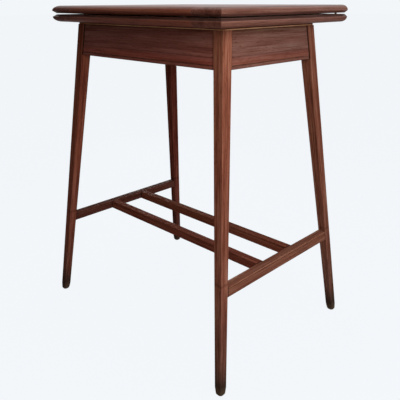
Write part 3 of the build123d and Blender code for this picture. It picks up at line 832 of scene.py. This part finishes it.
# On the aprons: painted shade in the grooves near the foot and along the top under the slip and the leaf,
# painted highlight lines between them, and redder bands of tone
APRON_TONE_AND_PAINTED_LIGHT: Stops = (
    (0.0, (0.42, 0.38, 0.36)),
    (0.025, (1.0, 0.93, 0.90)),
    (0.078, (1.0, 0.93, 0.90)),
    (0.090, (0.42, 0.36, 0.35)),
    (0.104, (0.42, 0.36, 0.35)),
    (0.120, (1.14, 0.90, 0.80)),
    (0.22, (1.10, 0.88, 0.82)),
    (0.30, (1.00, 0.88, 0.86)),
    (0.330, (0.60, 0.58, 0.60)),
    (0.350, (1.18, 1.24, 1.22)),
    (0.370, (0.92, 0.94, 0.94)),
    (0.390, (1.14, 1.20, 1.18)),
    (0.415, (0.94, 0.97, 0.97)),
    (0.86, (0.93, 0.97, 0.95)),
    (0.955, (0.88, 0.93, 0.80)),
    (0.985, (0.60, 0.58, 0.50)),
    (1.0, (0.45, 0.42, 0.38)),
)
# On the stretchers and rails: painted shade in the quirk below the upper arris, a painted highlight on the
# rounded strip above it, and a slightly darker bottom
BAR_PAINTED_LIGHT: Stops = (
    (0.0, (0.85, 0.85, 0.85)),
    (0.08, (1.0, 1.0, 1.0)),
    (0.785, (1.0, 1.0, 1.0)),
    (0.805, (0.40, 0.36, 0.36)),
    (0.835, (0.40, 0.36, 0.36)),
    (0.86, (1.12, 1.06, 1.0)),
    (1.0, (1.0, 1.0, 1.0)),
)
# On the slips: the lower part painted brighter as lit, and the upper part darkened as painted shadow under the
# leaf's overhang
SLIP_PAINTED_LIGHT: Stops = (
    (0.0, (1.80, 1.64, 1.34)),
    (0.36, (1.80, 1.64, 1.34)),
    (0.46, (0.34, 0.27, 0.24)),
    (1.0, (0.18, 0.14, 0.12)),
)
# Painted light on the upper leaf's edges: painted shade in the bevel at the gap between the leaves, painted
# highlight lines, and a cooler face where sheen is painted in
UPPER_EDGE_PAINTED_LIGHT: Stops = (
    (0.0, (1.0, 1.0, 1.0)),
    (0.012, (1.0, 1.0, 1.0)),
    (0.03, (0.52, 0.50, 0.52)),
    (0.10, (0.94, 0.96, 1.00)),
    (0.25, (1.04, 1.04, 1.06)),
    (0.29, (1.16, 1.12, 1.10)),
    (0.34, (1.06, 1.10, 1.12)),
    (0.84, (1.06, 1.10, 1.12)),
    (0.91, (0.72, 0.72, 0.76)),
    (0.97, (1.0, 1.0, 1.0)),
)
# Painted light on the lower leaf's edges: a lighter underside, a painted highlight along the nose's tip, and
# painted shade in the bevel at the gap under the upper leaf
LOWER_EDGE_PAINTED_LIGHT: Stops = (
    (0.02, (1.0, 1.0, 1.0)),
    (0.05, (1.12, 1.02, 0.98)),
    (0.36, (1.16, 1.10, 1.06)),
    (0.44, (1.10, 1.12, 1.14)),
    (0.66, (1.10, 1.12, 1.14)),
    (0.70, (1.28, 1.26, 1.26)),
    (0.74, (0.40, 0.32, 0.31)),
    (0.972, (0.26, 0.20, 0.19)),
    (0.99, (1.0, 1.0, 1.0)),
)
LEATHER = LeatherFinish(name="sole_leather", hide=(0.24, 0.14, 0.085), crease=(0.10, 0.055, 0.035))


# -------- pieces


def dress(node: str, material: Material) -> None:
    """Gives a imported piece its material.

    Args:
        node: The piece's name.
        material: Its finish.
    """
    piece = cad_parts[node]
    if not piece.data.materials:
        piece.data.materials.append(material)
    for slot in piece.material_slots:
        slot.material = material
    log.info("%s wears %s", node, material.name)


def measure(node: str) -> tuple[Vector, Vector]:
    """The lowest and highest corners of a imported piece."""
    low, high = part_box(node)
    return Vector(low), Vector(high)


def dress_softwood(boards: tuple[Cut, ...], timber: Timber) -> None:
    """Gives boards from one log the look of raw wood, each along its grain."""
    for number, (board, run) in enumerate(boards):
        dress(board, RAW_WOOD.on(Board(board, run, timber.place(number))))


def painted_light_and_tone_on(node: str, stops: Stops) -> PaintedLightAndTone:
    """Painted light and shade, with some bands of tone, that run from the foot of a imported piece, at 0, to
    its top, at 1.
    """
    low, high = measure(node)
    return low.z, high.z, stops


def settle(piece: bpy.types.Object) -> None:
    """Applies the place, turn and size of a new piece, so that its object sits at the origin."""
    bpy.ops.object.select_all(action="DESELECT")
    piece.select_set(True)
    bpy.context.view_layer.objects.active = piece
    bpy.ops.object.transform_apply(location=True, rotation=True, scale=True)


# Shares of a cloth's rise: its cut edge, the rounding above it, the pressed border, and where its face starts
EDGE_RISE, ROUND_RISE, BORDER_RISE, FACE_LEVEL = 0.6, 0.3, 0.1, 0.98
# The rounding's width as a share of the thickness, and how far up the face's normal has to point
ROUND_WIDTH, FACE_TURN = 0.35, 0.9
# The cuts across the face, its waves' length in metres, and the least angle that stays sharp, in degrees
FACE_CUTS, WAVE_SIZE, SHARP_ANGLE = 24, 0.05, 35.0


def lay_cloth(name: str, node: str, facing: Facing, border: float, unevenness: float) -> bpy.types.Object:
    """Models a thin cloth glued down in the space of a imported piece: rounded, pressed edges and a soft face.

    Args:
        name: The new piece's name.
        node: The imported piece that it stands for.
        facing: The side that shows.
        border: How far the edge is pressed down, inwards.
        unevenness: How much the face waves, at most.

    Returns:
        The new piece.
    """
    low, high = measure(node)
    size = high - low
    back = low.z if facing is Facing.UP else high.z
    bpy.ops.object.select_all(action="DESELECT")
    middle = ((low.x + high.x) / 2, (low.y + high.y) / 2, back)
    bpy.ops.mesh.primitive_plane_add(size=1.0, location=middle)
    piece = bpy.context.object
    piece.name = name
    bpy.ops.object.mode_set(mode="EDIT")
    bpy.ops.transform.resize(value=(size.x, size.y, 1.0))
    rise = facing.value * (size.z - unevenness)
    bpy.ops.mesh.extrude_region_move(TRANSFORM_OT_translate={"value": (0.0, 0.0, EDGE_RISE * rise)})
    bpy.ops.mesh.inset(thickness=ROUND_WIDTH * size.z, depth=0.0)
    bpy.ops.transform.translate(value=(0.0, 0.0, ROUND_RISE * rise))
    bpy.ops.mesh.inset(thickness=border, depth=0.0)
    bpy.ops.transform.translate(value=(0.0, 0.0, BORDER_RISE * rise))
    bpy.ops.mesh.select_all(action="SELECT")
    bpy.ops.mesh.normals_make_consistent(inside=False)
    bpy.ops.object.mode_set(mode="OBJECT")
    settle(piece)
    shown = [
        face.index
        for face in piece.data.polygons
        if facing.value * face.normal.z > FACE_TURN and face.area > border * border
    ]
    bpy.ops.object.mode_set(mode="EDIT")
    bpy.ops.mesh.select_mode(type="FACE")
    bpy.ops.mesh.select_all(action="DESELECT")
    bpy.ops.object.mode_set(mode="OBJECT")
    for index in shown:
        piece.data.polygons[index].select = True
    bpy.ops.object.mode_set(mode="EDIT")
    bpy.ops.mesh.subdivide(number_cuts=FACE_CUTS)
    bpy.ops.object.mode_set(mode="OBJECT")
    soft = bpy.data.textures.new(f"{name}_waves", "CLOUDS")
    soft.noise_scale = WAVE_SIZE
    top = piece.vertex_groups.new(name="face")
    level = back + FACE_LEVEL * rise
    chosen = [corner.index for corner in piece.data.vertices if facing.value * (corner.co.z - level) > 0.0]
    top.add(chosen, 1.0, "REPLACE")
    waves = piece.modifiers.new("waves", "DISPLACE")
    waves.texture, waves.texture_coords, waves.direction = soft, "LOCAL", "Z"
    waves.vertex_group, waves.mid_level, waves.strength = "face", 0.0, facing.value * unevenness
    bpy.ops.object.modifier_apply(modifier=waves.name)
    bpy.ops.object.shade_smooth_by_angle(angle=math.radians(SHARP_ANGLE))
    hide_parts(node)
    return piece


@dataclass(frozen=True)
class Rails:
    """Rails of one kind from one log, with the seams of the long and of the short ones."""

    cuts: tuple[Cut, ...]
    finish: WoodFinish
    timber: Timber
    # Painted light and shade, with bands of tone, by height
    marks: Stops
    seams: tuple[Seam, Seam]
    waver: float

    def dress(self) -> None:
        """Stains each rail, with its tone and painted light and shade at the same heights, and painted shade
        at its ends.
        """
        for number, (rail, run) in enumerate(self.cuts):
            marks = painted_light_and_tone_on(rail, self.marks)
            seams = (self.seams[run == ALONG_Y],)
            board = Board(rail, run, self.timber.place(number), BOARD_TONES_AND_PAINTED_LIGHT[rail], marks, self.waver, seams=seams)
            dress(rail, self.finish.on(board))


@dataclass
class UnderFrame:
    """Splayed legs, canted aprons, stretchers and long rails."""

    legs: tuple[tuple[str, float, float], ...] = (
        ("leg_front_left", -1.0, -1.0), ("leg_front_right", 1.0, -1.0),
        ("leg_back_left", -1.0, 1.0), ("leg_back_right", 1.0, 1.0),
    )
    leg_timber: Timber = Timber((0.0, 0.0, 0.0), (0.31, 0.17, 0.0))
    splay: Span = (0.0784, 0.0810)
    foot_dirt: float = 0.088
    aprons: Rails = Rails(
        cuts=(
            ("apron_front", ALONG_X), ("apron_back", ALONG_X),
            ("apron_left", ALONG_Y), ("apron_right", ALONG_Y),
        ),
        finish=APRON_MAHOGANY,
        timber=Timber((0.4, 0.0, 0.11), (0.0, 0.23, 0.0)),
        marks=APRON_TONE_AND_PAINTED_LIGHT,
        seams=(Seam(axis=0, reach=0.1996, slope=0.1218), SHORT_END),
        waver=BROAD_WAVER,
    )
    bars: Rails = Rails(
        cuts=(
            ("stretcher_left", ALONG_Y), ("stretcher_right", ALONG_Y),
            ("long_rail_front", ALONG_X), ("long_rail_back", ALONG_X),
        ),
        finish=MAHOGANY,
        timber=Timber((0.9, 0.0, 0.37), (0.0, 0.13, 0.0)),
        marks=BAR_PAINTED_LIGHT,
        seams=(Seam(axis=0, reach=0.2051, slope=0.1112), SHORT_END),
        waver=FINE_WAVER,
    )
    leg_seam_width: float = 0.0009
    leg_seam_depth: float = 0.92

    def dress_legs(self) -> None:
        """Stains the legs, with the grain down each one, dirt on its foot, painted light by height and painted
        shade where the aprons meet them.
        """
        joint = measure("apron_front")[0].z
        seams = tuple(
            replace(seam, width=self.leg_seam_width, low=joint, depth=self.leg_seam_depth)
            for seam in self.aprons.seams
        )
        for number, (leg, across, deep) in enumerate(self.legs):
            low, high = measure(leg)
            board = Board(
                name=leg,
                grain=(across * self.splay[0], deep * self.splay[1], low.z - high.z),
                place=self.leg_timber.place(number),
                tint=BOARD_TONES_AND_PAINTED_LIGHT[leg],
                painted_light_and_tone=(low.z, high.z, LEG_PAINTED_LIGHT),
                foot_dirt=self.foot_dirt,
                seams=seams,
            )
            dress(leg, LEG_MAHOGANY.on(board))

    def make(self) -> None:
        """Dresses the whole under-frame."""
        self.dress_legs()
        self.aprons.dress()
        self.bars.dress()


@dataclass
class SlipsAndFelts:
    """The pale slips along the top of the frame, each with its ribbon of felt."""

    sides: tuple[Cut, ...] = (("front", ALONG_X), ("back", ALONG_X), ("left", ALONG_Y), ("right", ALONG_Y))
    pressed: float = 0.0009
    unevenness: float = 0.0001
    timber: Timber = Timber((0.2, 0.0, 0.0), (0.0, 0.09, 0.0))

    def make(self) -> None:
        """Dresses the slips, with painted light and shadow by height, and lays the ribbons."""
        felt = FELT.make()
        for number, (side, run) in enumerate(self.sides):
            board = Board(
                name=f"slip_{side}",
                grain=run,
                place=self.timber.place(number),
                painted_light_and_tone=painted_light_and_tone_on(f"slip_{side}", SLIP_PAINTED_LIGHT),
                waver=SLIP_WAVER,
            )
            dress(f"slip_{side}", SLIP_WOOD.on(board))
            name = f"felt_ribbon_{side}"
            ribbon = lay_cloth(name, f"felt_{side}", Facing.UP, self.pressed, self.unevenness)
            ribbon.data.materials.append(felt)
            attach(ribbon, Body.FRAME.value)
            log.info("felt ribbon laid on the %s slip", side)


@dataclass
class CardWell:
    """The well for cards with its blocks and screws, in raw softwood."""

    boards: tuple[Cut, ...] = (
        ("well_floor", ALONG_X), ("well_partition", ALONG_Y),
        ("well_fillets", ALONG_Y), ("corner_blocks", ALONG_X),
    )
    softwood: Timber = Timber((0.1, 0.0, 0.05), (0.0, 0.31, 0.0))

    def make(self) -> None:
        """Dresses the well."""
        dress_softwood(self.boards, self.softwood)
        dress("corner_block_screws", STEEL.make())


@dataclass
class SwivelPivot:
    """The pivot, its bearer and the stops under the lower leaf."""

    wooden: tuple[Cut, ...] = (
        ("pivot_bearer", ALONG_Y), ("pivot_block", ALONG_Y),
        ("stop_closed", ALONG_X), ("stop_open", ALONG_X),
    )
    softwood: Timber = Timber((0.7, 0.0, 0.21), (0.0, 0.19, 0.0))
    metal: tuple[str, ...] = ("pivot_plate", "pivot_plate_screws", "pivot_nut", "pivot_washer", "stop_screws")

    def make(self) -> None:
        """Dresses the pivot and the stops."""
        dress_softwood(self.wooden, self.softwood)
        steel = STEEL.make()
        for part in self.metal:
            dress(part, steel)


@dataclass
class Leaf:
    """One leaf of the folding top: a board between two clamps, with baize let into its inner face."""

    name: str
    body: Body
    facing: Facing
    place: float
    # Painted light and shade on the edges, by height
    edge_painted_light: Stops
    clamp_places: Span = (0.5, 0.8)
    pressed: float = 0.003
    unevenness: float = 0.0001

    def dress_wood(self) -> None:
        """Stains the board along its length and the clamps across it, with painted light and shade on the
        edges by height.
        """
        marks = painted_light_and_tone_on(f"{self.name}_board", self.edge_painted_light)
        boards = (
            ("board", ALONG_X, (self.place, 0.0, self.place)),
            ("clamp_left", ALONG_Y, (self.clamp_places[0], self.place, 0.0)),
            ("clamp_right", ALONG_Y, (self.clamp_places[1], self.place, 0.0)),
        )
        for part, run, place in boards:
            node = f"{self.name}_{part}"
            dress(node, TOP_MAHOGANY.on(Board(node, run, place, BOARD_TONES_AND_PAINTED_LIGHT[node], marks, FINE_WAVER)))

    def lay_baize(self, cloth: Material) -> None:
        """Lays the baize into its recess.

        Args:
            cloth: The baize's material.
        """
        node = f"{self.name}_baize"
        piece = lay_cloth(f"{self.name}_baize_cloth", node, self.facing, self.pressed, self.unevenness)
        piece.data.materials.append(cloth)
        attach(piece, self.body.value)
        log.info("baize laid in the %s", self.name)

    def make(self, cloth: Material) -> None:
        """Makes the whole leaf.

        Args:
            cloth: The baize's material.
        """
        self.dress_wood()
        self.lay_baize(cloth)


@dataclass
class FlapHinges:
    """Flap hinges with two pins and a link, and the leather buttons that the upper leaf rests on."""

    parts: tuple[str, ...] = (
        "hinge_plate_lower_left", "hinge_plate_lower_right", "hinge_pins_lower", "hinge_screws_lower",
        "hinge_plate_upper_left", "hinge_plate_upper_right", "hinge_pins_upper", "hinge_screws_upper",
    )
    links: tuple[str, str] = ("hinge_link_left", "hinge_link_right")

    def make(self) -> None:
        """Dresses the hinges and the buttons."""
        brass, link_brass_painted_shade = BRASS.make(), LINK_BRASS_PAINTED_SHADE.make()
        for part in self.parts:
            dress(part, brass)
        # The links take the darkened brass as painted shade
        for link in self.links:
            dress(link, link_brass_painted_shade)
        dress("rest_buttons", LEATHER.make())


# -------- studio


@dataclass(frozen=True)
class Lamp:
    """A soft square lamp."""

    name: str
    place: Triple
    aim: Triple
    size: float
    power: float
    colour: Colour = (1.0, 1.0, 1.0)
    spread: float = math.pi

    def hang(self) -> None:
        """Hangs the lamp at its place, turned to what it lights."""
        light = bpy.data.lights.new(self.name, "AREA")
        light.shape, light.size, light.spread = "SQUARE", self.size, self.spread
        light.energy, light.color = self.power, self.colour
        holder = bpy.data.objects.new(self.name, light)
        bpy.context.scene.collection.objects.link(holder)
        holder.location = self.place
        holder.rotation_euler = (Vector(self.aim) - Vector(self.place)).to_track_quat("-Z", "Y").to_euler()


@dataclass
class Studio:
    """A plain pale floor, a soft window on the right with weaker fills, and the photograph's camera."""

    background: Colour = (0.888, 0.922, 0.947)
    floor_glow: Colour = (0.936, 0.969, 1.0)
    floor_colour: Colour = (0.45, 0.46, 0.47)
    glow_share: float = 0.94
    floor_roughness: float = 0.9
    floor_size: float = 60.0
    floor_height: float = -0.0002
    air_light: float = 0.05
    camera_place: Triple = (0.82869, -0.81322, 0.74810)
    heading: float = 2.3492
    tilt: float = -0.3790
    roll: float = -0.0047
    lens: float = 44.956
    sensor: float = 36.0
    lamps: tuple[Lamp, ...] = (
        Lamp("window", (1.35, -0.10, 1.05), (0.0, 0.0, 0.40), 0.9, 7.2, (0.96, 1.02, 1.13)),
        Lamp("near_fill", (0.77, -0.53, 0.87), (0.0, 0.0, 0.38), 0.5, 3.3, (1.0, 0.90, 0.82)),
        Lamp("sheen", (1.25, 1.25, 0.45), (0.0, 0.0, 0.35), 0.7, 3.0, (0.97, 1.0, 1.06)),
        Lamp("overhead", (0.60, -0.30, 2.00), (0.0, 0.0, 0.40), 1.0, 2.4),
        Lamp("top_light", (-0.10, 0.10, 1.95), (0.0, 0.0, 0.74), 0.35, 8.0),
        Lamp("back_fill", (-1.50, 1.20, 0.36), (0.0, 0.0, 0.45), 0.55, 3.9, spread=1.4),
    )

    def shown_background(self, bench: ShaderBench) -> Socket:
        """A mask of the rays that see the background: from the camera, off gloss and through glass."""
        rays = bench.node("ShaderNodeLightPath")
        either = bench.sum("MAXIMUM", rays.outputs["Is Camera Ray"], rays.outputs["Is Glossy Ray"])
        return bench.sum("MAXIMUM", either, rays.outputs["Is Transmission Ray"])

    def light_air(self) -> None:
        """Sets the world: a soft even light, and a pale background."""
        world = bpy.data.worlds.new("studio_air")
        bpy.context.scene.world = world
        world.use_nodes = True
        bench = ShaderBench(world.node_tree)
        bench.tree.nodes.clear()
        air = bench.node("ShaderNodeBackground")
        air.inputs["Strength"].default_value = self.air_light
        air.inputs["Color"].default_value = (1.0, 1.0, 1.0, 1.0)
        pale = bench.node("ShaderNodeBackground")
        bench.feed(pale.inputs["Color"], self.background)
        mixed = bench.node("ShaderNodeMixShader")
        bench.feed(mixed.inputs[0], self.shown_background(bench))
        bench.feed(mixed.inputs[1], air.outputs[0])
        bench.feed(mixed.inputs[2], pale.outputs[0])
        bench.feed(bench.node("ShaderNodeOutputWorld").inputs["Surface"], mixed.outputs[0])

    def lay_floor(self) -> None:
        """Lays the floor, which keeps the table's shadow."""
        bpy.ops.object.select_all(action="DESELECT")
        bpy.ops.mesh.primitive_plane_add(size=self.floor_size, location=(0.0, 0.0, self.floor_height))
        floor = bpy.context.object
        floor.name = "studio_floor"
        settle(floor)
        bench, material, shader = new_material("pale_floor")
        bench.feed(shader.inputs["Base Color"], self.floor_colour)
        shader.inputs["Roughness"].default_value = self.floor_roughness
        shader.inputs["Specular IOR Level"].default_value = 0.0
        glow = bench.node("ShaderNodeEmission")
        bench.feed(glow.inputs["Color"], self.floor_glow)
        mixed = bench.node("ShaderNodeMixShader")
        bench.feed(mixed.inputs[0], bench.sum("MULTIPLY", self.shown_background(bench), self.glow_share))
        bench.feed(mixed.inputs[1], shader.outputs[0])
        bench.feed(mixed.inputs[2], glow.outputs[0])
        bench.feed(bench.tree.nodes["Material Output"].inputs["Surface"], mixed.outputs[0])
        floor.data.materials.append(material)

    def place_camera(self) -> None:
        """Stands the camera where the photograph was taken."""
        flat = Vector((math.cos(self.heading), math.sin(self.heading), 0.0))
        ahead = flat * math.cos(self.tilt) + Vector((0.0, 0.0, math.sin(self.tilt)))
        right = Vector((math.sin(self.heading), -math.cos(self.heading), 0.0))
        up = right.cross(ahead)
        rolled_right = right * math.cos(self.roll) + up * math.sin(self.roll)
        rolled_up = up * math.cos(self.roll) - right * math.sin(self.roll)
        seen = bpy.data.cameras.new("photo_camera")
        seen.lens, seen.sensor_width = self.lens, self.sensor
        holder = bpy.data.objects.new("photo_camera", seen)
        bpy.context.scene.collection.objects.link(holder)
        turn = Matrix((rolled_right, rolled_up, -ahead)).transposed()
        holder.matrix_world = Matrix.Translation(self.camera_place) @ turn.to_4x4()
        bpy.context.scene.camera = holder

    def make(self) -> None:
        """Sets the studio."""
        bpy.context.scene.view_settings.view_transform = "Standard"
        self.place_camera()
        self.light_air()
        self.lay_floor()
        for lamp in self.lamps:
            lamp.hang()


def main() -> None:
    """Builds and dresses the table in order, and sets the studio."""
    logging.basicConfig(level=logging.INFO, format="%(name)s: %(message)s")
    Studio().make()
    UnderFrame().make()
    SlipsAndFelts().make()
    CardWell().make()
    SwivelPivot().make()
    cloth = BAIZE.make()
    Leaf("lower_leaf", Body.LOWER_LEAF, Facing.UP, 0.0, LOWER_EDGE_PAINTED_LIGHT).make(cloth)
    Leaf("upper_leaf", Body.UPPER_LEAF, Facing.DOWN, 0.45, UPPER_EDGE_PAINTED_LIGHT).make(cloth)
    FlapHinges().make()


if __name__ == "__main__":
    main()
